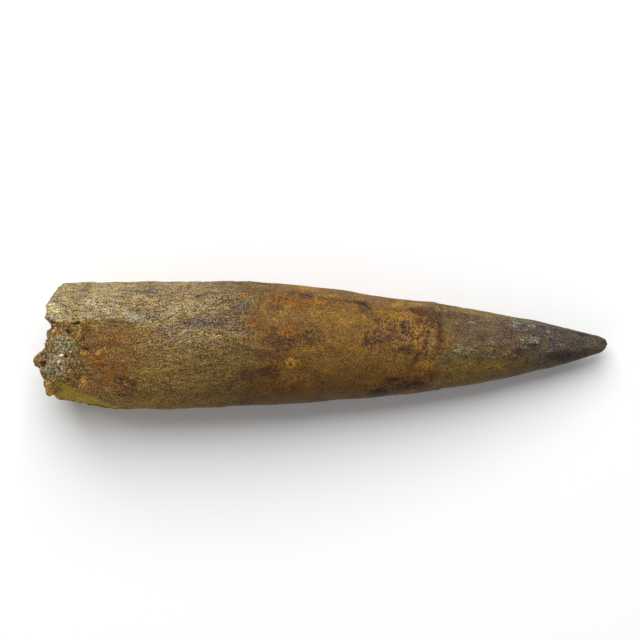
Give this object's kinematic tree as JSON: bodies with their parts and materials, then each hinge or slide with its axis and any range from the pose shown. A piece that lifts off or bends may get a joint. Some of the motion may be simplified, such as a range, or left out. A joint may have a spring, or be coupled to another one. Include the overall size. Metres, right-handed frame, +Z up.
{
  "type": "dinosaur tooth fossil",
  "caption": "Fossil tooth of a large meat-eating dinosaur lying on its side: long straight cone, broken root filled with sandstone.",
  "frame": {"origin": "on the surface the tooth lies on, below the middle of its bounding box", "axes": "+X along the tooth from the broken root to the tip, +Y to the left seen from above with the tip ahead, +Z up"},
  "size_m": [0.0864, 0.0192, 0.0165],
  "materials": {
    "tooth": "mineral-stained fossil enamel, semi-gloss towards the tip; fibrous, weathered, nearly matt dentine on the root",
    "sandstone": "coarse grey-tan sandstone with loose grains, small pits and a few bright crystals, matt"
  },
  "bodies": {
    "root": {"tooth": "tooth", "sandstone": "sandstone"}
  },
  "joints": []
}
